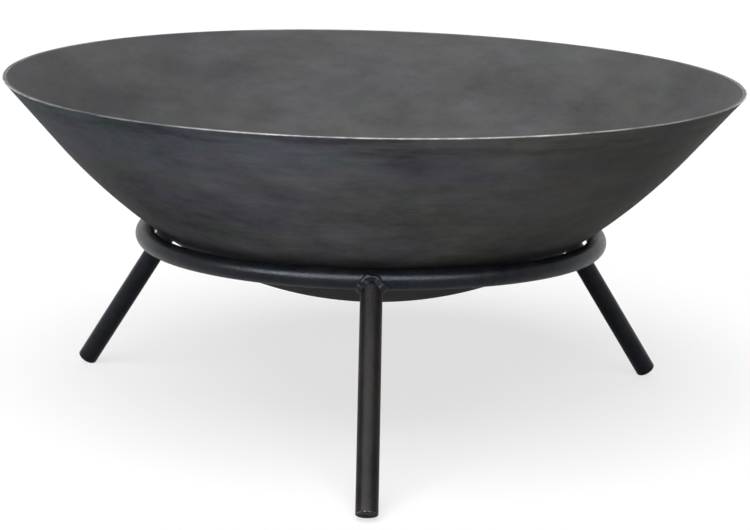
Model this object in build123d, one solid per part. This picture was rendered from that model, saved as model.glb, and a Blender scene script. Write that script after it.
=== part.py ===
from build123d import *
import math
import os

# Fire bowl on a three-legged ring stand, with a fire grate that lifts out of the bowl.
# Millimetres, +Z up. The origin is on the bowl's axis, on the ground that the legs stand on.

# Bowl: dished sheet steel with a crown, a wider shoulder and a straight flank up to the rim
rim_diameter = 600.0           # over the rim's outer edge, before it is broken
bowl_wall = 2.5                # sheet thickness
crown_radius = 301.0           # outer radius of the dished crown
shoulder_radius = 445.0        # outer radius of the shoulder
crown_edge_slope = 33.7        # slope of the wall where the crown meets the shoulder, degrees
flank_slope = 49.6             # slope of the straight flank below the rim, degrees
rim_break = 0.4                # radius that takes the sharpness off the rim's two edges

# Stand: one round bar bent into a ring, and three straight legs of a second bar
ring_diameter = 370.4          # of the ring bar's centre line
ring_height = 156.3            # ground to the ring bar's centre line
ring_bar = 16.0                # diameter of the ring's bar
leg_bar = 17.0                 # diameter of the legs' bar
leg_splay = 34.0               # lean of the legs away from the bowl's axis, degrees
leg_count = 3
leg_names = ["front", "rear_right", "rear_left"]
front_leg_azimuth = -90.0      # the front leg points to -Y
leg_horn_trim = 3.0            # how far short of the ring's centre line the leg's coped end stops
leg_end_break = 0.8            # radius on the edge of the leg's square-cut lower end

# Welds
closing_weld_azimuth = 90.0    # the bent bars are closed at the back
ring_root_gap = 3.0            # gap between a bent bar's two ends, filled by the closing weld
bead_radius = 2.2              # of the bead laid round the top of each leg
bead_crest = 3.2               # from the ring's centre line down to the bead's highest points
bead_points = 9                # steps of the bead's path down one side of the leg

# Grate: parallel bars on a hoop and two cross bearers
hoop_diameter = 340.0          # of the hoop bar's centre line
hoop_bar = 10.0                # diameter of the hoop's bar
grate_bar = 8.0                # diameter of the bars and the bearers
bar_pitch = 24.0               # centre to centre of the bars
bearer_spacing = 130.0         # centre to centre of the two bearers
bar_weld_sink = 0.8            # how deep the bars are fused into the hoop
bearer_drop = 0.4              # how far the bearers' tops lie below the hoop's top
bar_end_inset = 2.0            # from the hoop's outer edge in to the bars' end corners

# Fits and travel
seat_clearance = 0.3           # between the bowl and the ring, and between the grate and the bowl


def sine(degrees):
    return math.sin(math.radians(degrees))


def cosine(degrees):
    return math.cos(math.radians(degrees))


def tangent(degrees):
    return math.tan(math.radians(degrees))


def arc_point(centre, radius, slope):
    """Point (r, z) below an arc's centre at which the arc rises outwards with this slope."""
    return (centre[0] + radius * sine(slope), centre[1] - radius * cosine(slope))


# The bowl's half profile in (r, z), with z = 0 at the lowest point of its outer face. The shoulder's
# centre lies beyond the crown's, on the line through the point where the two arcs meet.
rim_radius = rim_diameter / 2
crown_centre = (0.0, crown_radius)
shoulder_centre = arc_point(crown_centre, crown_radius - shoulder_radius, crown_edge_slope)
flank_foot = arc_point(shoulder_centre, shoulder_radius, flank_slope)
bowl_depth = flank_foot[1] + (rim_radius - flank_foot[0]) * tangent(flank_slope)


def rim_point(offset):
    """Where the wall's parallel at this offset outside its outer face reaches the rim's plane."""
    return (rim_radius + offset / sine(flank_slope), bowl_depth)


def wall_height(radius, offset):
    """Height at a radius of the curve that lies this offset outside the bowl's outer face."""
    crown_reach = arc_point(crown_centre, crown_radius + offset, crown_edge_slope)[0]
    shoulder_reach = arc_point(shoulder_centre, shoulder_radius + offset, flank_slope)[0]
    if radius > shoulder_reach:
        rim = rim_point(offset)
        return rim[1] - (rim[0] - radius) * tangent(flank_slope)
    if radius > crown_reach:
        drop = math.sqrt((shoulder_radius + offset) ** 2 - (radius - shoulder_centre[0]) ** 2)
        return shoulder_centre[1] - drop
    return crown_centre[1] - math.sqrt((crown_radius + offset) ** 2 - radius ** 2)


# The ring carries the bowl, and the bowl carries the grate's hoop.
ring_radius = ring_diameter / 2
bowl_base = ring_height - wall_height(ring_radius, ring_bar / 2 + seat_clearance)
hoop_radius = hoop_diameter / 2
hoop_offset = -(bowl_wall + seat_clearance + hoop_bar / 2)
hoop_height = bowl_base + wall_height(hoop_radius, hoop_offset)

# A leg stands on the lower edge of its square-cut end, so the end's centre is a little above ground.
foot_height = (leg_bar / 2 - leg_end_break) * sine(leg_splay) + leg_end_break * (1 - cosine(leg_splay))
foot_radius = ring_radius + (ring_height - foot_height) * tangent(leg_splay)
leg_reach = (ring_height - foot_height) / cosine(leg_splay)

# The bars lie on the hoop and on the bearers, fused a little way into both.
hoop_top = hoop_height + hoop_bar / 2
bearer_height = hoop_top - bearer_drop - grate_bar / 2
bar_height = hoop_top + grate_bar / 2 - bar_weld_sink
bar_end_radius = hoop_radius + hoop_bar / 2 - bar_end_inset
bars_each_side = math.floor((hoop_radius - grate_bar) / bar_pitch)


def wall_line(offset):
    """The wall's half profile at this offset: crown arc, shoulder arc and straight flank."""
    crown = crown_radius + offset
    shoulder = shoulder_radius + offset
    middle_slope = (crown_edge_slope + flank_slope) / 2
    bottom = arc_point(crown_centre, crown, 0)
    crown_middle = arc_point(crown_centre, crown, crown_edge_slope / 2)
    crown_edge = arc_point(crown_centre, crown, crown_edge_slope)
    shoulder_middle = arc_point(shoulder_centre, shoulder, middle_slope)
    flank_start = arc_point(shoulder_centre, shoulder, flank_slope)
    crown_arc = ThreePointArc(bottom, crown_middle, crown_edge)
    shoulder_arc = ThreePointArc(crown_edge, shoulder_middle, flank_start)
    flank = Line(flank_start, rim_point(offset))
    return crown_arc + shoulder_arc + flank


def make_bowl():
    """The wall's section turned about the axis, with the rim cut level and its edges broken."""
    inner_bottom = arc_point(crown_centre, crown_radius - bowl_wall, 0)
    outer_bottom = arc_point(crown_centre, crown_radius, 0)
    wall_at_axis = Line(inner_bottom, outer_bottom)
    rim_cut = Line(rim_point(0), rim_point(-bowl_wall))
    section = make_face(wall_line(0) + rim_cut + wall_line(-bowl_wall) + wall_at_axis)
    shell = revolve(Plane.XZ * section, axis=Axis.Z)
    rim_edges = shell.faces().sort_by(Axis.Z)[-1].edges()
    return Pos(0, 0, bowl_base) * fillet(rim_edges, rim_break)


def bent_bar(radius, height, diameter, gap):
    """A round bar bent into a level circle, open by this gap at the back, and the weld that closes it."""
    gap_angle = math.degrees(gap / radius)
    profile = Plane.XZ * Pos(radius, height) * Circle(diameter / 2)
    bar = revolve(profile, axis=Axis.Z, revolution_arc=360 - gap_angle)
    weld = revolve(profile, axis=Axis.Z, revolution_arc=gap_angle)
    bar_turn = Rot(0, 0, closing_weld_azimuth + gap_angle / 2)
    weld_turn = Rot(0, 0, closing_weld_azimuth - gap_angle / 2)
    return bar_turn * bar, weld_turn * weld


def whole_ring(radius, height, diameter):
    """The closed circle of bar that other bars are coped to."""
    return Pos(0, 0, height) * Torus(radius, diameter / 2)


def make_leg():
    """A leg in the XZ plane: round bar, square-cut and broken at the foot, coped to the ring's bar."""
    bar = Cylinder(leg_bar / 2, leg_reach - leg_horn_trim, align=(Align.CENTER, Align.CENTER, Align.MIN))
    bar = fillet(bar.edges().sort_by(Axis.Z)[0], leg_end_break)
    placed = Pos(foot_radius, 0, foot_height) * Rot(0, -leg_splay, 0) * bar
    return placed - whole_ring(ring_radius, ring_height, ring_bar)


def make_leg_weld(leg):
    """The weld round a leg's top: a bead swept down one side, cut to what it joins, and its mirror image."""
    saddle = []
    for step in range(bead_points + 1):
        turn = 180 * step / bead_points
        across = leg_bar / 2 * cosine(turn)
        along_ring = leg_bar / 2 * sine(turn)
        below = math.sqrt(max(ring_bar ** 2 / 4 - across ** 2, 0) + bead_crest ** 2)
        saddle.append((across, along_ring, -below))
    path = Spline(*saddle)
    bead = sweep(Plane(origin=path @ 0, z_dir=path % 0) * Circle(bead_radius), path=path)
    placed = Pos(ring_radius, 0, ring_height) * Rot(0, -leg_splay, 0) * bead
    one_side = placed - leg - whole_ring(ring_radius, ring_height, ring_bar)
    return one_side + mirror(one_side, Plane.XZ)


def level_bar(length, height, azimuth):
    """A level grate bar with its middle over the axis."""
    return Pos(0, 0, height) * Rot(0, 0, azimuth) * Rot(0, 90, 0) * Cylinder(grate_bar / 2, length)


def make_bearer(side):
    """A bearer along Y, left (-1) or right (1), coped at both ends to the inside of the hoop."""
    offset = side * bearer_spacing / 2
    length = 2 * math.sqrt(hoop_radius ** 2 - offset ** 2)
    bar = Pos(offset, 0, 0) * level_bar(length, bearer_height, 90)
    return bar - whole_ring(hoop_radius, hoop_height, hoop_bar)


def make_grate_bar(place, seats):
    """A bar along X on top of the hoop and the bearers, cut to stay inside the hoop's outline."""
    offset = place * bar_pitch
    half_length = math.sqrt(bar_end_radius ** 2 - (abs(offset) + grate_bar / 2) ** 2)
    bar = Pos(0, offset, 0) * level_bar(2 * half_length, bar_height, 0)
    return bar - seats


def make_stand():
    ring, ring_weld = bent_bar(ring_radius, ring_height, ring_bar, ring_root_gap)
    leg = make_leg()
    leg_weld = make_leg_weld(leg)
    nodes = {"stand_ring": ring, "stand_ring_weld": ring_weld}
    for index, name in enumerate(leg_names):
        azimuth = front_leg_azimuth + index * 360 / leg_count
        nodes["leg_" + name] = Rot(0, 0, azimuth) * leg
        nodes["leg_weld_" + name] = Rot(0, 0, azimuth) * leg_weld
    return nodes


def make_grate():
    hoop, hoop_weld = bent_bar(hoop_radius, hoop_height, hoop_bar, ring_root_gap)
    bearer_left = make_bearer(-1)
    bearer_right = make_bearer(1)
    nodes = {
        "grate_hoop": hoop,
        "grate_hoop_weld": hoop_weld,
        "grate_bearer_left": bearer_left,
        "grate_bearer_right": bearer_right,
    }
    seats = [whole_ring(hoop_radius, hoop_height, hoop_bar), bearer_left, bearer_right]
    for place in range(-bars_each_side, bars_each_side + 1):
        number = place + bars_each_side + 1
        nodes[f"grate_bar_{number:02d}"] = make_grate_bar(place, seats)
    return nodes


def main():
    os.makedirs("parts", exist_ok=True)
    nodes = {"bowl": make_bowl()}
    nodes.update(make_stand())
    nodes.update(make_grate())
    for name, shape in nodes.items():
        export_step(shape, f"parts/{name}.step")
    print(f"{len(nodes)} nodes, bowl base {bowl_base:.2f}, rim {bowl_base + bowl_depth:.2f}, "
          f"depth {bowl_depth:.2f}, foot radius {foot_radius:.2f}, hoop height {hoop_height:.2f}, "
          f"bar top {bar_height + grate_bar / 2:.2f}")


main()
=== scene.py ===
import math
import bpy
import numpy as np
from mathutils import Matrix, Vector


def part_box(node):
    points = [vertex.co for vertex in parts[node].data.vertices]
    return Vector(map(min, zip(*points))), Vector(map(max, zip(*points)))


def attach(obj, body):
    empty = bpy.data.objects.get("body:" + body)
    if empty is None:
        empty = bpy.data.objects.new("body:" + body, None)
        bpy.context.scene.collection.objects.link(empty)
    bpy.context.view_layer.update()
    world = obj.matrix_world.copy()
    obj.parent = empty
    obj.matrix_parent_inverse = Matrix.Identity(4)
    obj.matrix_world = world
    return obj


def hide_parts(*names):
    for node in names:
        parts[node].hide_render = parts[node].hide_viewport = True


# Fire bowl on its ring stand, with the grate inside it. Metres, +Z up, the ground at zero.
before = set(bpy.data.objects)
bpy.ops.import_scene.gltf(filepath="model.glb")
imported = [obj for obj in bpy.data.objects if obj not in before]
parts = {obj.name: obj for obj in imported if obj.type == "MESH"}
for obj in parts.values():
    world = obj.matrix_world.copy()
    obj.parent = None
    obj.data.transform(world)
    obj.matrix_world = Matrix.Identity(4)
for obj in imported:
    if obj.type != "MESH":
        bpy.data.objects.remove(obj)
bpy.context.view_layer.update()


# Small helpers for node trees. A new material comes with its tree and its Principled shader.
def newMaterial(name):
    material = bpy.data.materials.new(name)
    material.use_nodes = True
    tree = material.node_tree
    shader = tree.nodes["Principled BSDF"]
    return material, tree, shader


# A node with its settings, and each input wired to a socket or set to a value
def addNode(tree, kind, inputs=None, **settings):
    node = tree.nodes.new(kind)
    for key, value in settings.items():
        setattr(node, key, value)
    for key, value in (inputs or {}).items():
        if isinstance(value, bpy.types.NodeSocket):
            tree.links.new(value, node.inputs[key])
        else:
            node.inputs[key].default_value = value
    return node


def mathNode(tree, operation, first, second=0.0):
    return addNode(tree, "ShaderNodeMath", {0: first, 1: second}, operation=operation).outputs[0]


def add(tree, first, second):
    return mathNode(tree, "ADD", first, second)


def subtract(tree, first, second):
    return mathNode(tree, "SUBTRACT", first, second)


def multiply(tree, first, second):
    return mathNode(tree, "MULTIPLY", first, second)


def vectorMath(tree, operation, *inputs):
    return addNode(tree, "ShaderNodeVectorMath", dict(enumerate(inputs)), operation=operation)


def separate(tree, vector):
    return addNode(tree, "ShaderNodeSeparateXYZ", {0: vector}).outputs


def combine(tree, x, y, z):
    return addNode(tree, "ShaderNodeCombineXYZ", {0: x, 1: y, 2: z}).outputs[0]


def objectPlace(tree):
    return addNode(tree, "ShaderNodeTexCoord").outputs["Object"]


def attribute(tree, name):
    return addNode(tree, "ShaderNodeAttribute", attribute_name=name).outputs["Fac"]


# The same vector moved, so that another reading of the noise doesn't match the first
def shifted(tree, vector, distance):
    return vectorMath(tree, "ADD", vector, (distance,) * 3).outputs[0]


# The same vector stretched, so that noise read at it is drawn out where a factor is small
def stretched(tree, vector, factors):
    return vectorMath(tree, "MULTIPLY", vector, factors).outputs[0]


# Fractal noise read at a vector
def noise(tree, vector, scale, detail=3.0, roughness=0.55, distortion=0.0):
    inputs = {"Vector": vector, "Scale": scale, "Detail": detail, "Roughness": roughness,
              "Distortion": distortion}
    return addNode(tree, "ShaderNodeTexNoise", inputs).outputs["Fac"]


# A ramp: a value moved in a straight line from one range to another, held at the ends
def remap(tree, value, low, high, newLow=0.0, newHigh=1.0, smooth=False):
    kind = "SMOOTHSTEP" if smooth else "LINEAR"
    inputs = {"Value": value, "From Min": low, "From Max": high, "To Min": newLow, "To Max": newHigh}
    return addNode(tree, "ShaderNodeMapRange", inputs, interpolation_type=kind).outputs["Result"]


def mixColour(tree, factor, first, second, blend="MIX"):
    node = addNode(tree, "ShaderNodeMix", data_type="RGBA", blend_type=blend)
    for index, value in ((0, factor), (6, first), (7, second)):
        if isinstance(value, bpy.types.NodeSocket):
            tree.links.new(value, node.inputs[index])
        elif index == 0:
            node.inputs[index].default_value = value
        else:
            node.inputs[index].default_value = (*value, 1.0)
    return node.outputs[2]


# A colour times a shade
def shaded(tree, colour, shade):
    return mixColour(tree, 1.0, colour, combine(tree, shade, shade, shade), "MULTIPLY")


# Bumps stacked from the coarsest to the finest: each takes a height and a depth in metres
def bumps(tree, heights):
    normal = None
    for height, depth in heights:
        node = addNode(tree, "ShaderNodeBump", {"Height": height, "Distance": depth, "Strength": 1.0})
        if normal is not None:
            tree.links.new(normal, node.inputs["Normal"])
        normal = node.outputs["Normal"]
    return normal


# Small helpers for meshes. Quads between neighbouring rows of a grid, its columns closed into
# rings; closeRows also joins the last row to the first.
def gridQuads(rows, columns, closeRows=False):
    row = np.arange(rows if closeRows else rows - 1)[:, None]
    column = np.arange(columns)[None, :]
    nextRow = (row + 1) % rows
    nextColumn = (column + 1) % columns
    corners = [row * columns + column, row * columns + nextColumn,
               nextRow * columns + nextColumn, nextRow * columns + column]
    return np.stack([corner + np.zeros_like(row + column) for corner in corners], axis=-1).reshape(-1, 4)


# Fans of triangles that close a grid's first and last rows at two poles, which follow the grid's
# points in that order
def poleFans(rows, columns):
    column = np.arange(columns)
    nextColumn = (column + 1) % columns
    firstPole, lastPole = rows * columns, rows * columns + 1
    lastRow = (rows - 1) * columns
    first = np.stack([np.full(columns, firstPole), nextColumn, column], axis=-1)
    last = np.stack([np.full(columns, lastPole), lastRow + column, lastRow + nextColumn], axis=-1)
    return np.concatenate([first, last]).tolist()


# Points and faces of a turned shape whose first and last rows have shrunk to one point each: the
# rows between are a grid, and a fan of triangles closes it at each pole
def closedByPoles(points):
    rows, columns = points.shape[0] - 2, points.shape[1]
    grid = points[1:-1].reshape(-1, 3)
    faces = gridQuads(rows, columns).tolist() + poleFans(rows, columns)
    return np.concatenate([grid, points[0, :1], points[-1, :1]]), faces


# One value for each point of such a shape: the rows' own values, then the two poles'
def pointValues(gridValues, firstPole, lastPole):
    return np.concatenate([np.ravel(gridValues), [firstPole, lastPole]])


# Even steps round a circle, in radians
def circle(steps):
    return np.arange(steps) / steps * 2 * np.pi


# A piece from its points and faces, smooth, on a body, in a finish
def addPiece(name, points, faces, material, body):
    mesh = bpy.data.meshes.new(name)
    mesh.from_pydata(points.reshape(-1, 3).tolist(), [], faces)
    mesh.polygons.foreach_set("use_smooth", np.ones(len(mesh.polygons), bool))
    mesh.materials.append(material)
    mesh.update()
    piece = bpy.data.objects.new(name, mesh)
    bpy.context.scene.collection.objects.link(piece)
    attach(piece, body)
    print("piece:", name, len(mesh.polygons), "faces")
    return piece


# A value for each point of a piece, for its material to read
def addAttribute(piece, name, values):
    layer = piece.data.attributes.new(name, "FLOAT", "POINT")
    layer.data.foreach_set("value", values.astype(np.float32))


# Turn about Z by degrees, for arrays of points
def turned(points, degrees):
    cosine, sine = math.cos(math.radians(degrees)), math.sin(math.radians(degrees))
    return points @ np.array([[cosine, -sine, 0.0], [sine, cosine, 0.0], [0.0, 0.0, 1.0]]).T


# Raw sheet steel of the bowl. A ramp is given as from, to, value at from, value at to. One named
# Across reads metres to the right of the axis, and one named Up metres along the wall from its
# middle. One named for patches, streaks, bands or grain reads a noise, which mostly stays between
# 0.3 and 0.7.
sheetSteel = {
    "violetGrey": (0.0645, 0.0628, 0.0795),
    "oliveGrey": (0.0705, 0.0684, 0.0615),
    "greenGrey": (0.0635, 0.0675, 0.0630),
    "tealGrey": (0.0490, 0.0645, 0.0760),
    "innerGrey": (0.0660, 0.0655, 0.0680),
    # bright ground steel of the rim, with a painted highlight on its outer edge
    "groundEdgeAndGlint": (0.80, 0.78, 0.74),
    "patchSize": 0.08,                           # metres, the broadest patches of scale
    "greenSize": 0.6,                            # the green patches' share of that
    "patchShifts": (0.0, 3.1, 7.7),              # where light, tint and green read their noise
    "patchNoise": (7.0, 0.75, 0.3),              # detail, roughness and distortion
    "wrapUp": (0.13, 0.18, 0.0, 1.0),            # where patches start to lie round the wall
    "wrapSize": (1.8, 0.7),                      # their length round it and width, for a patch of 1
    "wrapNoise": (7.0, 0.72),                    # detail and roughness
    "streakWidth": 0.0016,                       # the short pale marks that run round the outside
    "streakLength": 0.016,
    "bandWidth": 0.007,                          # the dark bands under the rim
    "bandLength": 0.11,
    "bandUp": (0.335, 0.347, 0.0, 1.0),
    "grainSize": 0.0011,
    "tintAcross": (-0.15, 0.20, -0.45, 0.75),    # violet at 0, olive at 1
    "tintUp": (0.05, 0.34, 0.30, -0.25),
    "tintPatches": (0.37, 0.63, 0.0, 1.0),
    "tintInside": 0.22,
    "greenPatches": (0.44, 0.62, 0.0, 0.9),
    "tealUp": (0.295, 0.355, 0.0, 1.0),
    "tealAcross": (0.10, -0.10, 0.0, 0.62),
    "tealPatches": (0.39, 0.53, 0.0, 1.0),
    "innerShare": 0.45,                          # how much of the inner grey is mixed in
    "patchDepth": (0.55, 0.45),                  # inside, and how much more of it outside
    "lightPatches": (0.3, 0.7, -0.72, 0.72),
    "lightGrain": (0.3, 0.7, -0.05, 0.05),
    "paleStreaks": (0.58, 0.70, 0.0, 0.24),
    "palePatches": (0.45, 0.60, 0.0, 1.0),
    "darkBands": (0.47, 0.57, 0.0, 0.30),
    "level": 1.27,                               # the shade that all of these are added to
    # painted light and shade outside: lighter up the wall, darker low down, and lighter to the right
    "paintedLightUp": (0.06, 0.34, -0.28, 0.14),
    "paintedLightAcross": (-0.05, 0.15, 0.0, 0.16),
    # painted shade outside: darker low on the left and at the far right, where less light reaches
    "lowLeftAcross": (-0.09, -0.19, 0.0, 1.0),
    "lowLeftUp": (0.31, 0.19, 0.0, 1.0),
    "farRightAcross": (0.18, 0.25, 0.0, 0.80),
    "farRightUp": (0.365, 0.31, 0.0, 1.0),
    "paintedLightInnerEnds": (0.20, 0.29, -0.02, 0.25),      # painted light on the inner face, by metres to either side
    "seat": 0.198,                               # metres up the wall where it sits on the ring
    "seatPaintedShadow": (0.0, 0.020, 0.48, 0.0),         # by metres from there, painted shadow of the ring on the wall
    # painted shade low on the outer wall, under the ring, by metres up the wall
    "lowPaintedShade": (0.17, 0.22, 0.30, 0.0),
    "edgeScale": 90.0,                           # of the noise along the ground rim
    "edgePatches": (0.35, 0.6, 0.4, 1.0),
    "edgePolish": 0.15,                          # how much smoother the ground edge is
    "roughPatches": (0.3, 0.7, 0.52, 0.66),
    "roughStreaks": (0.3, 0.7, -0.04, 0.04),
    "patchBump": 0.0004,                         # metres
    "streakBump": 0.00005,
    "grainBump": 0.00005,
    "metallic": 0.02,
    "specular": 0.025,
}


# Rings of noise that run round the axis: the direction of a point (x, y) / r, stretched, against
# its distance along the wall
def aroundNoise(tree, place, along, length, width, detail=4.0, roughness=0.55):
    middleRadius = 0.3
    direction = vectorMath(tree, "NORMALIZE", stretched(tree, place, (1.0, 1.0, 0.0))).outputs[0]
    split = separate(tree, direction)
    x = multiply(tree, split[0], middleRadius / length)
    y = multiply(tree, split[1], middleRadius / length)
    z = multiply(tree, along, 1.0 / width)
    return noise(tree, combine(tree, x, y, z), 1.0, detail, roughness)


# Patches of scale that lie round the wall. Towards the middle, where the way round closes up, they
# turn into patches as long as they are wide.
def scalePatches(tree, look, at, size, shift):
    place, along = at["place"], at["along"]
    even = noise(tree, shifted(tree, place, shift), 1.0 / size, *look["patchNoise"])
    length, width = look["wrapSize"]
    smeared = aroundNoise(tree, place, add(tree, along, shift), size * length, size * width,
                          *look["wrapNoise"])
    share = remap(tree, along, *look["wrapUp"])
    return add(tree, even, multiply(tree, share, subtract(tree, smeared, even)))


# Where a point of the wall is: in space, across, up the wall, and which of the two faces it is on
def wallPlace(tree):
    place = objectPlace(tree)
    wall = separate(tree, addNode(tree, "ShaderNodeUVMap", uv_map="wall").outputs[0])
    return {"place": place, "side": separate(tree, place)[0], "inside": wall[0],
            "outside": subtract(tree, 1.0, wall[0]), "along": wall[1]}


# The noises of the steel: scale in three readings that don't match, grain, streaks and bands
def steelNoises(tree, look, at):
    place, along, size = at["place"], at["along"], look["patchSize"]
    light, tint, green = look["patchShifts"]
    return {
        "light": scalePatches(tree, look, at, size, light),
        "tint": scalePatches(tree, look, at, size, tint),
        "green": scalePatches(tree, look, at, size * look["greenSize"], green),
        "grain": noise(tree, place, 1.0 / look["grainSize"], 2.0, 0.5),
        "streaks": aroundNoise(tree, place, along, look["streakLength"], look["streakWidth"], 1.0),
        "bands": aroundNoise(tree, place, along, look["bandLength"], look["bandWidth"], 2.0),
    }


# Violet on the left and under the rim, olive on the right and low down, patches of green, teal
# under the rim on the left, and a plainer grey inside
def steelTint(tree, look, at, noises):
    tone = multiply(tree, at["outside"], remap(tree, at["side"], *look["tintAcross"]))
    tone = add(tree, tone, remap(tree, at["along"], *look["tintUp"]))
    tone = add(tree, tone, multiply(tree, at["inside"], look["tintInside"]))
    tone = add(tree, tone, remap(tree, noises["tint"], *look["tintPatches"]))
    colour = mixColour(tree, remap(tree, tone, 0.0, 1.0), look["violetGrey"], look["oliveGrey"])
    colour = mixColour(tree, remap(tree, noises["green"], *look["greenPatches"]), colour, look["greenGrey"])
    teal = multiply(tree, at["outside"], remap(tree, at["along"], *look["tealUp"], True))
    teal = multiply(tree, teal, remap(tree, at["side"], *look["tealAcross"]))
    teal = multiply(tree, teal, remap(tree, noises["green"], *look["tealPatches"]))
    colour = mixColour(tree, teal, colour, look["tealGrey"])
    return mixColour(tree, multiply(tree, at["inside"], look["innerShare"]), colour, look["innerGrey"])


# What painted shadow leaves: 1 - outside * (painted shadow of the ring round the seat + painted shade low on
# the wall)
def paintedShadowFactor(tree, look, at):
    away = mathNode(tree, "ABSOLUTE", subtract(tree, at["along"], look["seat"]))
    shadowAmount = add(tree, remap(tree, away, *look["seatPaintedShadow"], True), remap(tree, at["along"], *look["lowPaintedShade"]))
    return subtract(tree, 1.0, multiply(tree, shadowAmount, at["outside"]))


# Light and dark: patches, grain, pale streaks and dark bands, then painted light and shade: lighter up
# the wall and to the right, darker low on the left and far right outside, lighter at both ends inside
def steelShade(tree, look, at, noises):
    inside, outside, along, side = at["inside"], at["outside"], at["along"], at["side"]
    depthInside, depthMore = look["patchDepth"]
    depth = add(tree, depthInside, multiply(tree, outside, depthMore))
    shade = multiply(tree, depth, remap(tree, noises["light"], *look["lightPatches"]))
    shade = add(tree, shade, remap(tree, noises["grain"], *look["lightGrain"]))
    pale = multiply(tree, outside, remap(tree, noises["streaks"], *look["paleStreaks"]))
    shade = add(tree, shade, multiply(tree, pale, remap(tree, noises["tint"], *look["palePatches"])))
    dark = multiply(tree, outside, remap(tree, along, *look["bandUp"], True))
    shade = subtract(tree, shade, multiply(tree, dark, remap(tree, noises["bands"], *look["darkBands"])))
    # painted light to the right, less the painted shade low on the left and at the far right
    sideways = remap(tree, side, *look["paintedLightAcross"])
    for corner in ("lowLeft", "farRight"):
        across = remap(tree, side, *look[corner + "Across"])
        sideways = subtract(tree, sideways, multiply(tree, across, remap(tree, along, *look[corner + "Up"])))
    # painted light and shade outside: lighter up the wall, plus the painted light and shade across it
    outer = multiply(tree, outside, add(tree, remap(tree, along, *look["paintedLightUp"]), sideways))
    # painted light inside, lighter at both ends
    inner = multiply(tree, inside, remap(tree, mathNode(tree, "ABSOLUTE", side), *look["paintedLightInnerEnds"]))
    shade = add(tree, add(tree, shade, look["level"]), add(tree, outer, inner))
    # times the painted shadow of the ring and the painted shade under it
    return multiply(tree, shade, paintedShadowFactor(tree, look, at))


# Mill scale, tint times shade (with painted light and shade), and ground steel with a painted highlight
# along the rim
def makeSheetSteel(look):
    material, tree, shader = newMaterial("rawSheetSteel")
    at = wallPlace(tree)
    noises = steelNoises(tree, look, at)
    colour = shaded(tree, steelTint(tree, look, at, noises), steelShade(tree, look, at, noises))
    # bright ground steel along the rim, with a painted highlight on its outer edge
    uneven = remap(tree, noise(tree, at["place"], look["edgeScale"], 4.0), *look["edgePatches"])
    bright = multiply(tree, attribute(tree, "groundEdgeAndGlint"), uneven)
    colour = mixColour(tree, bright, colour, look["groundEdgeAndGlint"])
    tree.links.new(colour, shader.inputs["Base Color"])
    rough = add(tree, remap(tree, noises["light"], *look["roughPatches"]),
                remap(tree, noises["streaks"], *look["roughStreaks"]))
    rough = subtract(tree, rough, multiply(tree, bright, look["edgePolish"]))
    tree.links.new(rough, shader.inputs["Roughness"])
    shader.inputs["Metallic"].default_value = look["metallic"]
    shader.inputs["Specular IOR Level"].default_value = look["specular"]
    heights = [(noises["light"], look["patchBump"]), (noises["streaks"], look["streakBump"]),
               (noises["grain"], look["grainBump"])]
    tree.links.new(bumps(tree, heights), shader.inputs["Normal"])
    return material


# The bowl, one turned wall with a ground rim
bowl = {
    "wall": 0.0025,                # sheet thickness
    "crownRadius": 0.301,          # outer radius of the dished middle
    "shoulderRadius": 0.445,       # outer radius between the middle and the straight flank
    "crownEdgeSlope": 33.7,        # degrees
    "flankSlope": 49.6,            # degrees
    "rimBreak": 0.0004,            # radius on the rim's two edges
    "crownSteps": 44,
    "shoulderSteps": 26,
    "flankSteps": (0.12, 0.25, 0.38, 0.5, 0.62, 0.74, 0.85, 0.93, 0.975, 0.99),
    "outerBreakSteps": 6,
    "flatSteps": (0.33, 0.67),
    "innerBreakSteps": 5,
    "columns": 384,
    "dip": 0.0009,                 # the rim is not quite flat: half the drop of its two low places
    "dipAzimuth": 215.5,           # where one low place is, degrees; the other is opposite
    "dipStart": 0.20,              # the dip dies out at this radius, outside the ring
    "shrink": 0.0003,              # the turned wall keeps this share inside the CAD wall's facets
    "outerBreakShine": 1.0,        # how bright the rim's outer edge is, ground steel with a painted highlight, its level face and its inner edge
    "flatShine": 0.09,             # its level face
    "innerBreakShine": 0.32,       # and its inner edge
    "shineLevel": 0.55,
    "shineLobes": (4, 0.30, 3.0),  # bright places: how many, how strong, degrees one is from the front
    "shineWaves": ((7, 0.10, 1.0), (17, 0.08, 0.0), (29, 0.06, 2.0)),
}


# A point of an arc at a slope: centre + radius * (sin slope, -cos slope)
def arcPoints(centre, radius, slopes):
    turn = np.radians(slopes)
    return np.stack([centre[0] + radius * np.sin(turn), centre[1] - radius * np.cos(turn)], axis=-1)


# A point of a rounded edge at an angle: centre + radius * (cos angle, sin angle)
def edgePoints(centre, radius, angles):
    turn = np.radians(angles)
    return np.stack([centre[0] + radius * np.cos(turn), centre[1] + radius * np.sin(turn)], axis=-1)


# The arcs' centres. The shoulder's lies beyond the crown's, on the line to where the arcs meet.
def bowlCentres(size):
    crownCentre = np.array([0.0, size["crownRadius"]])
    lead = size["crownRadius"] - size["shoulderRadius"]
    return crownCentre, arcPoints(crownCentre, lead, size["crownEdgeSlope"])


# One face of the wall in (r, z), at an offset from the outer face: the crown's arc, the shoulder's
# arc and the straight flank up to the end point
def facePoints(size, offset, end):
    edgeSlope, flankSlope = size["crownEdgeSlope"], size["flankSlope"]
    crownCentre, shoulderCentre = bowlCentres(size)
    crown = arcPoints(crownCentre, size["crownRadius"] + offset,
                      np.linspace(0, edgeSlope, size["crownSteps"]))
    shoulder = arcPoints(shoulderCentre, size["shoulderRadius"] + offset,
                         np.linspace(edgeSlope, flankSlope, size["shoulderSteps"])[1:])
    share = np.array(size["flankSteps"])[:, None]
    flank = shoulder[-1] * (1 - share) + end * share
    return np.concatenate([crown, shoulder, flank])


# Distance along a line of points from its first one
def lengthAlong(points):
    return np.concatenate([[0], np.cumsum(np.linalg.norm(np.diff(points, axis=0), axis=1))])


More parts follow.
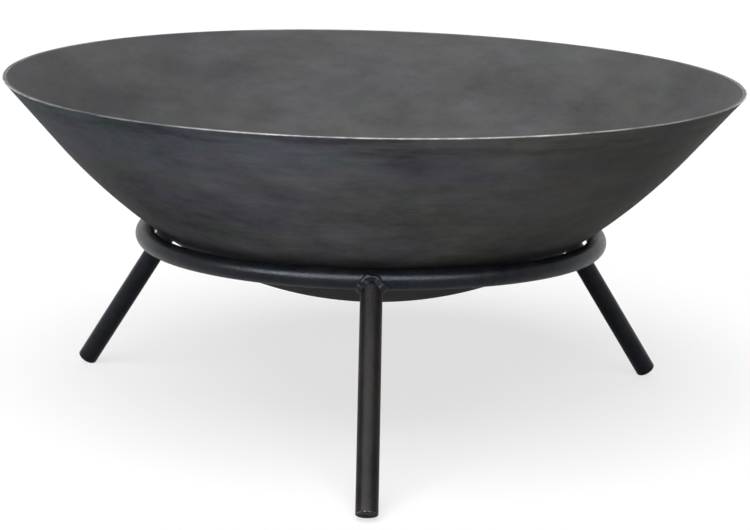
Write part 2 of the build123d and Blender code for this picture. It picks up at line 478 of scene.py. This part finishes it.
# Half profile of the whole wall: outer face up, the rim with its broken edges, inner face down.
# With it come, for each point, the rim's shine, the distance along its face from the middle, and
# whether it is on the inner face.
def bowlProfile(size, depth):
    flankSlope, rimBreak = size["flankSlope"], size["rimBreak"]
    flank = math.radians(flankSlope)
    foot = arcPoints(bowlCentres(size)[1], size["shoulderRadius"], flankSlope)
    rimRadius = foot[0] + (depth - foot[1]) / math.tan(flank)
    inset = rimBreak / math.tan(flank)
    outerCentre = (rimRadius - rimBreak / math.sin(flank) - inset, depth - rimBreak)
    innerCentre = (rimRadius + (rimBreak - size["wall"]) / math.sin(flank) - inset, depth - rimBreak)
    outerBreak = edgePoints(outerCentre, rimBreak, np.linspace(flankSlope - 90, 90, size["outerBreakSteps"]))
    innerBreak = edgePoints(innerCentre, rimBreak, np.linspace(90, flankSlope + 90, size["innerBreakSteps"]))
    flat = outerBreak[-1] + (innerBreak[0] - outerBreak[-1]) * np.array(size["flatSteps"])[:, None]
    outer = facePoints(size, 0.0, outerBreak[0])
    inner = facePoints(size, -size["wall"], innerBreak[-1])[::-1]

    profile = np.concatenate([outer, outerBreak, flat, innerBreak, inner])
    stretches = ((outer, 0.0), (outerBreak, size["outerBreakShine"]), (flat, size["flatShine"]),
                 (innerBreak, size["innerBreakShine"]), (inner, 0.0))
    shine = np.concatenate([np.full(len(points), value) for points, value in stretches])
    outerCount = len(outer) + len(outerBreak) + len(flat)
    outerLength = lengthAlong(profile[:outerCount])
    innerLength = lengthAlong(profile[outerCount:][::-1])[::-1]
    isInside = np.concatenate([np.zeros(len(outerLength)), np.ones(len(innerLength))])
    return profile, shine, np.concatenate([outerLength, innerLength]), isInside


# How bright the rim is round its edge, ground steel with a painted highlight:
# level + lobes * cos(count * (azimuth from the front - place)) + the waves
def rimShine(size, azimuth):
    count, strength, place = size["shineLobes"]
    fromFront = azimuth + np.pi / 2
    shine = size["shineLevel"] + strength * np.cos(count * (fromFront - math.radians(place)))
    for waveCount, waveStrength, phase in size["shineWaves"]:
        shine = shine + waveStrength * np.cos(waveCount * azimuth + phase)
    return shine


# Distance along the wall and inside or outside, kept as a UV map for the steel to read
def addWallMap(piece, along, inside):
    mesh = piece.data
    cornerVertex = np.zeros(len(mesh.loops), np.int32)
    mesh.loops.foreach_get("vertex_index", cornerVertex)
    uv = np.stack([inside[cornerVertex], along[cornerVertex]], axis=-1).astype(np.float32)
    mesh.uv_layers.new(name="wall").data.foreach_set("uv", uv.ravel())


# The profile turned about the axis. Beyond the ring the wall sinks by
# dip * (1 + cos 2(azimuth - dipAzimuth)) * fade, where fade grows as the square from the dip's
# start to the rim.
def buildBowl(size, material):
    low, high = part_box("bowl")
    profile, shine, length, isInside = bowlProfile(size, high.z - low.z)
    columns = size["columns"]
    azimuth = circle(columns)
    radius = profile[:, :1] * (1 - size["shrink"])
    fade = np.clip((radius - size["dipStart"]) / (high.x - size["dipStart"]), 0, 1) ** 2
    dip = size["dip"] * (1 + np.cos(2 * (azimuth - math.radians(size["dipAzimuth"])))) * fade
    points = np.stack([radius * np.cos(azimuth), radius * np.sin(azimuth),
                       low.z + profile[:, 1:] - dip], axis=-1)
    allPoints, faces = closedByPoles(points)
    piece = addPiece("fireBowl", allPoints, faces, material, "bowl")
    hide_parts("bowl")

    # ground steel and painted highlight along the rim
    addAttribute(piece, "groundEdgeAndGlint", pointValues(shine[1:-1, None] * rimShine(size, azimuth), 0.0, 0.0))
    along = pointValues(np.repeat(length[1:-1], columns), 0.0, 0.0)
    inside = pointValues(np.repeat(isInside[1:-1], columns), 0.0, 1.0)
    addWallMap(piece, along, inside)
    print("wall: %.3f m from the middle to the rim" % length.max())


buildBowl(bowl, makeSheetSteel(sheetSteel))


# Black paint of the stand, with ramps given as for the steel
blackPaint = {
    "paint": (0.0048, 0.0054, 0.0084),
    "blueHaze": (0.0110, 0.0160, 0.0260),
    "greenHaze": (0.0140, 0.0200, 0.0150),
    "dust": (0.0230, 0.0190, 0.0210),
    "bareSteel": (0.17, 0.16, 0.16),
    "hazeSize": 0.035,             # metres, the broadest patches of the blue haze
    "hazeFineness": (1.0, 1.3, 1.6),             # how much finer blue, green and dust are
    "hazeShifts": (2.3, 5.9),                    # where blue and green read their noise
    "hazeNoise": (7.0, 0.82, 0.3),               # detail, roughness and distortion
    "dustNoise": (7.0, 0.80, 0.3),
    "bluePatches": (0.42, 0.66, 0.0, 1.0),
    "greenPatches": (0.46, 0.68, 0.0, 0.8),
    "dustPatches": (0.42, 0.66, 0.0, 0.6),
    "dustStretch": (1.0, 1.0, 0.22),
    "peelSize": 0.0018,            # orange peel of the sprayed film
    "peelBump": 0.00030,           # metres
    "grainSize": 0.0006,
    "grainBump": 0.00003,
    "lumpBump": 0.0,               # metres, lumps as large as the specks of wear
    "speckScale": 420.0,
    "speckPatches": (0.40, 0.52, 0.0, 1.0),
    "wearUp": (0.0004, 0.0016, 0.8, 0.0),        # metres up a foot, how rubbed the paint is
    "wearEdge": (0.30, 0.90, 0.0, 1.0),
    "wornMetallic": 0.5,
    "roughDust": (0.35, 0.65, 0.27, 0.36),
    "roughGrain": (0.3, 0.7, -0.03, 0.03),
    "specular": 0.13,
    "specularTint": (0.84, 0.89, 1.0, 1.0),
}

# The front leg's paint is browner and less glossy than the rest of the stand's
frontLegPaint = dict(blackPaint, paint=(0.0050, 0.0048, 0.0058), blueHaze=(0.0080, 0.0078, 0.0150),
                     greenHaze=(0.0090, 0.0110, 0.0070), dust=(0.0200, 0.0150, 0.0130),
                     dustPatches=(0.42, 0.66, 0.0, 0.8), specular=0.075,
                     specularTint=(1.0, 0.98, 0.96, 1.0))

# The weld beads are lumpy under the same paint
weldPaint = dict(blackPaint, lumpBump=0.0007)


# How far the paint is rubbed off: the greater of the worn edges and the wear near the ground,
# broken up by specks
def paintWear(tree, look, place, speck):
    nearGround = remap(tree, separate(tree, place)[2], *look["wearUp"])
    rub = mathNode(tree, "MAXIMUM", attribute(tree, "worn"), nearGround)
    rub = multiply(tree, rub, remap(tree, speck, *look["speckPatches"]))
    return remap(tree, rub, *look["wearEdge"])


# Black film with three hazes over it, each from its own noise, and bare steel where it is rubbed
def makeBlackPaint(look, name):
    material, tree, shader = newMaterial(name)
    place = objectPlace(tree)
    blueScale, greenScale, dustScale = (fineness / look["hazeSize"] for fineness in look["hazeFineness"])
    blueShift, greenShift = look["hazeShifts"]
    blue = noise(tree, shifted(tree, place, blueShift), blueScale, *look["hazeNoise"])
    green = noise(tree, shifted(tree, place, greenShift), greenScale, *look["hazeNoise"])
    dust = noise(tree, stretched(tree, place, look["dustStretch"]), dustScale, *look["dustNoise"])
    peel = noise(tree, place, 1.0 / look["peelSize"], 3.0, 0.6)
    grain = noise(tree, place, 1.0 / look["grainSize"], 2.0, 0.5)
    speck = noise(tree, place, look["speckScale"], 3.0, 0.6)

    colour = mixColour(tree, remap(tree, blue, *look["bluePatches"]), look["paint"], look["blueHaze"])
    colour = mixColour(tree, remap(tree, green, *look["greenPatches"]), colour, look["greenHaze"])
    colour = mixColour(tree, remap(tree, dust, *look["dustPatches"]), colour, look["dust"])
    rub = paintWear(tree, look, place, speck)
    tree.links.new(mixColour(tree, rub, colour, look["bareSteel"]), shader.inputs["Base Color"])
    rough = add(tree, remap(tree, dust, *look["roughDust"]), remap(tree, grain, *look["roughGrain"]))
    tree.links.new(rough, shader.inputs["Roughness"])
    tree.links.new(multiply(tree, rub, look["wornMetallic"]), shader.inputs["Metallic"])
    shader.inputs["Specular IOR Level"].default_value = look["specular"]
    shader.inputs["Specular Tint"].default_value = look["specularTint"]
    heights = [(peel, look["peelBump"]), (grain, look["grainBump"])]
    if look["lumpBump"] > 0:
        heights = [(speck, look["lumpBump"])] + heights
    tree.links.new(bumps(tree, heights), shader.inputs["Normal"])
    return material


# The stand's ring, one bent bar
standRing = {
    "drop": 0.00175,               # the ring is not quite flat: half the drop of its two low places
    "dropAzimuth": 7.0,            # where one low place is, degrees; the other is opposite
    "columns": 288,
    "around": 32,
}


# Half thickness, centre-line radius and centre height of a bent ring, from its CAD node's box
def ringSizes(name):
    low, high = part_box(name)
    bar = (high.z - low.z) / 2
    return bar, high.x - bar, (high.z + low.z) / 2


# How far the stand's ring sinks at an azimuth: drop * (1 + cos 2(azimuth - place))
def ringDrop(size, azimuth):
    return size["drop"] * (1 + np.cos(2 * (azimuth - math.radians(size["dropAzimuth"]))))


# A bar of round section bent to a ring: (R + r cos s) (cos t, sin t), height r sin s - drop(t)
def buildStandRing(size, material):
    bar, radius, height = ringSizes("stand_ring")
    t = circle(size["columns"])[None, :]
    s = circle(size["around"])[:, None]
    reach = radius + bar * np.cos(s)
    points = np.stack([reach * np.cos(t), reach * np.sin(t),
                       height + bar * np.sin(s) - ringDrop(size, t)], axis=-1)
    faces = gridQuads(size["around"], size["columns"], True)
    piece = addPiece("standRing", points, faces.tolist(), material, "stand")
    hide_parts("stand_ring")


# The stand's three legs, straight bars cut square at the foot
standLegs = {
    "legBar": 0.0085,              # radius
    "footBreak": 0.0008,           # radius on the edge of the foot
    "splay": 34.0,                 # lean away from the bowl, degrees
    "topTrim": 0.004,              # how far short of the ring's centre line the leg ends, inside the bar
    "azimuths": {"front": (-90.0, -90.0), "rear_right": (31.5, 30.0), "rear_left": (150.0, 150.0)},
    "around": 40,
    "rows": 60,
    "wornRows": (0.0, 0.0, 0.3, 0.9, 0.9, 0.35),  # how rubbed the foot's edge is, from end face to side
}


# Half profile (r, s) of a leg from its foot: a flat end, its rounded edge, the bar and a flat top
def legProfile(size, length):
    bar, edge = size["legBar"], size["footBreak"]
    turn = np.radians(np.linspace(-90, 0, len(size["wornRows"])))
    radius = np.concatenate([[0.0, (bar - edge) / 2], bar - edge + edge * np.cos(turn),
                             np.full(size["rows"], bar), [bar / 2, 0.0]])
    along = np.concatenate([[0.0, 0.0], edge + edge * np.sin(turn),
                            np.linspace(edge, length, size["rows"] + 1)[1:], [length, length]])
    return radius, along


# The middles of a leg's foot and top. The first azimuth is the top's, the second the foot's. The
# foot's middle is so high that its rounded edge touches the ground.
def legEnds(size, ringSize, name):
    ringBar, ringRadius, ringHeight = ringSizes("stand_ring")
    lean = math.radians(size["splay"])
    bar, edge = size["legBar"], size["footBreak"]
    footHeight = (bar - edge) * math.sin(lean) + edge * (1 - math.cos(lean))
    footRadius = ringRadius + (ringHeight - footHeight) * math.tan(lean)
    topAzimuth, footAzimuth = (math.radians(degrees) for degrees in size["azimuths"][name])
    foot = np.array([footRadius * math.cos(footAzimuth), footRadius * math.sin(footAzimuth), footHeight])
    top = np.array([ringRadius * math.cos(topAzimuth), ringRadius * math.sin(topAzimuth),
                    ringHeight - ringDrop(ringSize, topAzimuth)])
    return foot, top


# A leg: its profile turned about the line from foot to top, then set down on the ground
def buildLeg(size, ringSize, name, material):
    foot, top = legEnds(size, ringSize, name)
    length = np.linalg.norm(top - foot)
    way = (top - foot) / length
    radius, along = legProfile(size, length - size["topTrim"])
    side = np.cross(way, [0.0, 0.0, 1.0])
    side /= np.linalg.norm(side)
    across = np.cross(way, side)
    t = circle(size["around"])
    ringWay = np.cos(t)[:, None] * side + np.sin(t)[:, None] * across
    points = foot + along[:, None, None] * way + radius[:, None, None] * ringWay[None]
    points[..., 2] -= points[..., 2].min()
    allPoints, faces = closedByPoles(points)
    piece = addPiece("leg_" + name + "_bar", allPoints, faces, material, "stand")
    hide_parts("leg_" + name)

    worn = np.zeros(len(radius))
    worn[2:2 + len(size["wornRows"])] = size["wornRows"]
    addAttribute(piece, "worn", pointValues(np.repeat(worn[1:-1], size["around"]), 0.0, 0.0))


# Weld beads round the tops of the legs
legWeld = {
    "crest": 0.0026,               # from the ring's centre line down to the bead's highest points
    "beadSize": 0.0028,
    "sideSwell": 0.35,             # how much thicker it is under the ring than over the leg's front
    "steps": 168,                  # round the leg
    "sectionSteps": 20,
    "ripple": 0.10,
    "rippleCount": 15,
    "rippleEdge": 0.7,             # below 1, the ripples' tops are broad and their valleys sharp
    "slant": 0.7,                  # how far a ripple leads on one side of the section, radians
    "flat": 0.28,                  # low in the corner and wide along its two walls
    "lumpWaves": (3, 12),          # the lumps are waves of these counts round the leg
    "lumpSize": 0.050,
    "firstSeed": 11,
}


# Uneven thickness round a bead: a sum of sine waves with random amounts and phases
def beadLumps(size, t, seed):
    random = np.random.default_rng(seed)
    waves = np.arange(*size["lumpWaves"])
    amount = random.normal(0, size["lumpSize"], len(waves))
    phase = random.uniform(0, 2 * np.pi, len(waves))
    return (amount[:, None] * np.sin(waves[:, None] * t + phase[:, None])).sum(axis=0)


# A rippled bead round a closed path. At each point of the path the section is a circle of radius
# thickness * (1 + ripple * |sin(count * t / 2 + slant * cos s)|^rippleEdge + lumps) *
# (1 - flat * sin 2s), in the plane of side and tangent x side; s is the angle round the section.
def beadPoints(size, path, side, thickness, seed):
    t = circle(len(path))
    s = circle(size["sectionSteps"])[:, None]
    tangent = np.roll(path, -1, axis=0) - np.roll(path, 1, axis=0)
    tangent /= np.linalg.norm(tangent, axis=1, keepdims=True)
    side = side - tangent * np.sum(side * tangent, axis=1, keepdims=True)
    side /= np.linalg.norm(side, axis=1, keepdims=True)
    across = np.cross(tangent, side)
    ripples = np.abs(np.sin(size["rippleCount"] * t[None, :] / 2 + size["slant"] * np.cos(s)))
    uneven = 1 + size["ripple"] * ripples ** size["rippleEdge"] + beadLumps(size, t, seed)[None, :]
    radius = (thickness[None, :] * uneven * (1 - size["flat"] * np.sin(2 * s)))[..., None]
    return (path[None] + radius * np.cos(s)[..., None] * side[None]
            + radius * np.sin(s)[..., None] * across[None])


# The path round a leg's top, in the leg's own frame with the ring's centre line at the origin:
# (leg cos t, leg sin t, -sqrt(ring^2 - (leg cos t)^2 + crest^2)), then leaned out by the splay.
# The bead is beadSize * (1 + sideSwell * (|sin t| - 1/2)) thick.
def buildLegWeld(size, legSize, ringSize, name, seed, material):
    ringBar, ringRadius, ringHeight = ringSizes("stand_ring")
    azimuth = legSize["azimuths"][name][0]
    centre = np.array([ringRadius, 0.0, ringHeight - ringDrop(ringSize, math.radians(azimuth))])
    t = circle(size["steps"])
    across = legSize["legBar"] * np.cos(t)
    drop = np.sqrt(np.maximum(ringBar ** 2 - across ** 2, 0) + size["crest"] ** 2)
    path = np.stack([across, legSize["legBar"] * np.sin(t), -drop], axis=-1)
    side = np.stack([np.cos(t), np.sin(t), np.zeros_like(t)], axis=-1)
    lean = math.radians(legSize["splay"])
    tilt = np.array([[math.cos(lean), 0, -math.sin(lean)], [0, 1, 0], [math.sin(lean), 0, math.cos(lean)]])
    thickness = size["beadSize"] * (1 + size["sideSwell"] * (np.abs(np.sin(t)) - 0.5))
    bead = beadPoints(size, path, side, thickness, seed)
    points = turned(bead @ tilt.T + centre, azimuth)
    faces = gridQuads(points.shape[0], points.shape[1], True)
    piece = addPiece("legWeld_" + name, points, faces[:, ::-1].tolist(), material, "stand")
    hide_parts("leg_weld_" + name)


paint = makeBlackPaint(blackPaint, "blackPaint")
frontPaint = makeBlackPaint(frontLegPaint, "frontLegPaint")
paintedWeld = makeBlackPaint(weldPaint, "paintedWeld")
buildStandRing(standRing, paint)
for index, name in enumerate(standLegs["azimuths"]):
    buildLeg(standLegs, standRing, name, frontPaint if name == "front" else paint)
    buildLegWeld(legWeld, standLegs, standRing, name, legWeld["firstSeed"] + index, paintedWeld)


# The welds that close the bent bars, at the back
closingWeld = {
    "halfWidth": 0.0042,           # along a bar of the radius below; it grows as the root of that
    "forBar": 0.008,
    "rise": 0.0009,                # how far the bead stands above the bar
    "sink": 0.0001,                # how far its edge lies under the bar's face
    "under": 1.4,                  # how much deeper its buried half goes
    "ripple": 0.22,
    "rippleCount": 15,
    "slant": 0.8,                  # radians
    "edgeWaves": ((5, 0.08), (9, 0.06)),         # how often its edges waver, and how much
    "sway": (4, 0.0004),           # how often the whole bead sways along the bar, and how far
    "steps": 120,                  # round the bar
    "sectionSteps": 16,
    "seeds": {"stand_ring": 5, "grate_hoop": 8},
}


# A flattened bead wrapped round a bent bar where its ends meet: along the ring
# halfWidth * wavering edge * cos s + sway, above the bar rise * sin s, thicker where
# |sin(count * t / 2 + slant * cos s)| is large.
def buildClosingWeld(size, name, ringName, material, body):
    bar, ringRadius, ringHeight = ringSizes(ringName)
    t = circle(size["steps"])[None, :]
    s = circle(size["sectionSteps"])[:, None]
    phase = np.random.default_rng(size["seeds"][ringName]).uniform(0, 2 * np.pi, 3)
    edge = 1
    for (count, amount), start in zip(size["edgeWaves"], phase):
        edge = edge + amount * np.sin(count * t + start)
    swayCount, swayReach = size["sway"]
    halfWidth = size["halfWidth"] * (bar / size["forBar"]) ** 0.5
    along = halfWidth * edge * np.cos(s) + swayReach * np.sin(swayCount * t + phase[2])
    step = 1 + size["ripple"] * np.abs(np.sin(size["rippleCount"] * t / 2 + size["slant"] * np.cos(s)))
    bulge = np.where(np.sin(s) > 0, np.sin(s) * step, size["under"] * np.sin(s))
    above = bar + size["rise"] * bulge - size["sink"]
    angle = np.pi / 2 + along / ringRadius
    reach = ringRadius + above * np.cos(t)
    points = np.stack([reach * np.cos(angle), reach * np.sin(angle),
                       ringHeight + above * np.sin(t)], axis=-1)
    faces = gridQuads(size["sectionSteps"], size["steps"], True)
    piece = addPiece(name, points, faces.tolist(), material, body)
    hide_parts(ringName + "_weld")


buildClosingWeld(closingWeld, "ringClosingWeld", "stand_ring", paintedWeld, "stand")


# Bar steel of the grate, with ramps given as for the sheet steel
barSteel = {
    "scaleBlue": (0.050, 0.055, 0.064),
    "scaleGrey": (0.078, 0.077, 0.076),
    "rust": (0.105, 0.058, 0.034),
    "drawnLine": 0.0007,           # metres, width of the fine drawn lines along a bar
    "alongScale": 12.0,            # scale of the lines' noise along a straight bar
    "aroundLength": 0.09,          # metres, length of the lines round the hoop
    "lineShade": (0.3, 0.7, 0.86, 1.14),
    "cloudNoise": (22.0, 5.0, 0.6, 0.5),         # scale, detail, roughness and distortion
    "spotNoise": (160.0, 4.0, 0.65),
    "scalePatches": (0.4, 0.62, 0.0, 1.0),
    "rustSpots": (0.58, 0.72, 0.0, 1.0),
    "rustPatches": (0.45, 0.65, 0.0, 1.0),
    "rustRoughness": 0.2,
    "roughPatches": (0.3, 0.7, 0.40, 0.62),
    "spotBump": 0.00012,           # metres
    "lineBump": 0.00004,
    "metallic": 0.45,
}


# Stretched noise: long along the bar and fine across it. grainWay is "x", "y" or "around".
def drawnLines(tree, look, place, grainWay):
    fine, slow = 1.0 / look["drawnLine"], look["alongScale"]
    if grainWay == "around":
        height = separate(tree, place)[2]
        return aroundNoise(tree, place, height, look["aroundLength"], look["drawnLine"], 3.0)
    stretch = (slow, fine, fine) if grainWay == "x" else (fine, slow, fine)
    return noise(tree, stretched(tree, place, stretch), 1.0, 3.0)


# Blue and grey scale in clouds, rust where spots meet clouds, and drawn lines over both
def makeBarSteel(look, grainWay):
    material, tree, shader = newMaterial("barSteel_" + grainWay)
    place = objectPlace(tree)
    lines = drawnLines(tree, look, place, grainWay)
    clouds = noise(tree, place, *look["cloudNoise"])
    spots = noise(tree, place, *look["spotNoise"])
    cloudy = remap(tree, clouds, *look["scalePatches"])
    colour = mixColour(tree, cloudy, look["scaleBlue"], look["scaleGrey"])
    rusty = remap(tree, spots, *look["rustSpots"])
    rusty = multiply(tree, rusty, remap(tree, clouds, *look["rustPatches"]))
    colour = mixColour(tree, rusty, colour, look["rust"])
    colour = shaded(tree, colour, remap(tree, lines, *look["lineShade"]))
    tree.links.new(colour, shader.inputs["Base Color"])
    rough = add(tree, remap(tree, clouds, *look["roughPatches"]),
                multiply(tree, rusty, look["rustRoughness"]))
    tree.links.new(rough, shader.inputs["Roughness"])
    shader.inputs["Metallic"].default_value = look["metallic"]
    heights = [(spots, look["spotBump"]), (lines, look["lineBump"])]
    tree.links.new(bumps(tree, heights), shader.inputs["Normal"])
    return material


# The grate's bars keep the CAD's meshes and get a better material
def finishPart(name, material):
    parts[name].material_slots[0].material = material


barsAlongX = makeBarSteel(barSteel, "x")
barsAlongY = makeBarSteel(barSteel, "y")
barAround = makeBarSteel(barSteel, "around")
grateBars = sorted(name for name in parts if name.startswith("grate_bar_"))
for name in grateBars:
    finishPart(name, barsAlongX)
for name in ("grate_bearer_left", "grate_bearer_right"):
    finishPart(name, barsAlongY)
finishPart("grate_hoop", barAround)
buildClosingWeld(closingWeld, "hoopClosingWeld", "grate_hoop", barAround, "grate")
print("grate:", len(grateBars), "bars finished")


# Floor, surround and lamps
studio = {
    "floorHalf": 14.0,             # half its side, metres
    "floorSeen": (1.0, 1.0, 1.0),
    "floorBounce": (0.03, 0.03, 0.03),
    "brightBounce": (0.90, 0.90, 0.90),
    "frontPlace": (-0.15, -0.75),  # middles of the two parts of the floor that throw light up at the
    "backPlace": (0.10, 0.95),     # object, in front and behind
    "brightRadius": (0.348, 0.58, 1.0, 0.0),     # by metres from their middles, how bright they are
    "shadowDepth": 0.34,           # how much of the object's shadow the floor shows
    "glowBehind": (0.25, 0.80, 0.0, 0.9),        # the surround as a light, by how far behind it is
    # each lamp: degrees to the right of the front, degrees up, strength, degrees wide, and whether
    # it only shows as a glint in gloss, as a far window does
    "lamps": {
        "highLamp": (-10.0, 55.0, 3.4, 54.0, False),
        "lowLamp": (-15.0, 13.0, 0.9, 40.0, False),
        "farLeftWindow": (-54.0, 24.0, 3.0, 20.0, True),
        "leftWindow": (-32.0, 26.0, 3.2, 20.0, True),
        "frontWindow": (-10.0, 28.0, 1.5, 20.0, True),
        "rightWindow": (12.0, 28.0, 1.6, 20.0, True),
        "farRightWindow": (34.0, 26.0, 2.2, 20.0, True),
    },
}


# 1 for rays that reach the camera directly, in a reflection or through glass
def seenRays(tree):
    path = addNode(tree, "ShaderNodeLightPath")
    seen = mathNode(tree, "MAXIMUM", path.outputs["Is Camera Ray"], path.outputs["Is Glossy Ray"])
    return mathNode(tree, "MAXIMUM", seen, path.outputs["Is Transmission Ray"])


# White where it is seen, and dark as a source of light but for its two bright parts. For the
# camera, plain white is mixed in, which leaves only shadowDepth of the shadow.
def makeFloorLook(look):
    material = bpy.data.materials.new("paleFloor")
    material.use_nodes = True
    tree = material.node_tree
    tree.nodes.clear()
    place = objectPlace(tree)
    bright = 0.0
    for middle in (look["frontPlace"], look["backPlace"]):
        away = vectorMath(tree, "DISTANCE", place, (*middle, 0.0)).outputs["Value"]
        bright = add(tree, bright, remap(tree, away, *look["brightRadius"], True))
    bounce = mixColour(tree, bright, look["floorBounce"], look["brightBounce"])
    colour = mixColour(tree, seenRays(tree), bounce, look["floorSeen"])
    matte = addNode(tree, "ShaderNodeBsdfDiffuse", {"Color": colour})
    white = addNode(tree, "ShaderNodeEmission", {"Color": (*look["floorSeen"], 1.0), "Strength": 1.0})
    toCamera = addNode(tree, "ShaderNodeLightPath").outputs["Is Camera Ray"]
    share = multiply(tree, toCamera, 1 - look["shadowDepth"])
    floorLook = addNode(tree, "ShaderNodeMixShader", {0: share, 1: matte.outputs[0], 2: white.outputs[0]})
    addNode(tree, "ShaderNodeOutputMaterial", {"Surface": floorLook.outputs[0]})
    return material


def buildFloor(look):
    half = look["floorHalf"]
    mesh = bpy.data.meshes.new("floor")
    corners = [(-half, -half, 0), (half, -half, 0), (half, half, 0), (-half, half, 0)]
    mesh.from_pydata(corners, [], [(0, 1, 2, 3)])
    mesh.materials.append(makeFloorLook(look))
    floor = bpy.data.objects.new("floor", mesh)
    bpy.context.scene.collection.objects.link(floor)


# White where it is seen; as a light it glows only behind the object: glow + seen * (1 - glow)
def buildSurround(look):
    world = bpy.data.worlds.new("paleSurround")
    world.use_nodes = True
    tree = world.node_tree
    background = tree.nodes["Background"]
    background.inputs["Color"].default_value = (1.0, 1.0, 1.0, 1.0)
    behind = separate(tree, addNode(tree, "ShaderNodeTexCoord").outputs["Generated"])[1]
    glow = remap(tree, behind, *look["glowBehind"])
    change = multiply(tree, seenRays(tree), subtract(tree, 1.0, glow))
    tree.links.new(add(tree, glow, change), background.inputs["Strength"])
    bpy.context.scene.world = world


# A wide lamp far away. It shines from (sin side * cos up, -cos side * cos up, sin up).
def addLamp(name, side, up, strength, width, glintOnly):
    data = bpy.data.lights.new(name, "SUN")
    data.energy = strength
    data.angle = math.radians(width)
    lamp = bpy.data.objects.new(name, data)
    lamp.visible_diffuse = not glintOnly
    across, rise = math.radians(side), math.radians(up)
    fromWay = Vector((math.sin(across) * math.cos(rise), -math.cos(across) * math.cos(rise), math.sin(rise)))
    lamp.rotation_euler = fromWay.to_track_quat("Z", "Y").to_euler()
    bpy.context.scene.collection.objects.link(lamp)


buildFloor(studio)
buildSurround(studio)
for name, settings in studio["lamps"].items():
    addLamp(name, *settings)
print("studio: floor, surround and", len(studio["lamps"]), "lamps")


# The camera, in front, a little above the rim
cameraPlace = {
    "distance": 2.0130,            # level distance from the bowl's axis
    "azimuth": -0.381,             # degrees round from straight in front
    "height": 0.5736,
    "turn": 0.492,                 # degrees to the right of straight ahead
    "pitch": 12.528,               # degrees down
    "roll": 1.425,                 # degrees
    "lens": 119.84,                # millimetres
    "sensorWidth": 36.0,
    "farthest": 100.0,
}


def buildCamera(place):
    data = bpy.data.cameras.new("camera")
    data.lens = place["lens"]
    data.sensor_width = place["sensorWidth"]
    data.clip_end = place["farthest"]
    camera = bpy.data.objects.new("camera", data)
    azimuth = math.radians(place["azimuth"])
    away = place["distance"]
    spot = Vector((away * math.sin(azimuth), -away * math.cos(azimuth), place["height"]))
    aim = (Matrix.Rotation(-math.radians(place["turn"]), 4, "Z")
           @ Matrix.Rotation(math.pi / 2 - math.radians(place["pitch"]), 4, "X")
           @ Matrix.Rotation(math.radians(place["roll"]), 4, "Z"))
    camera.matrix_world = Matrix.Translation(spot) @ aim
    bpy.context.scene.collection.objects.link(camera)
    bpy.context.scene.camera = camera


buildCamera(cameraPlace)
bpy.context.scene.view_settings.view_transform = "Standard"
print("camera:", cameraPlace["lens"], "mm lens")
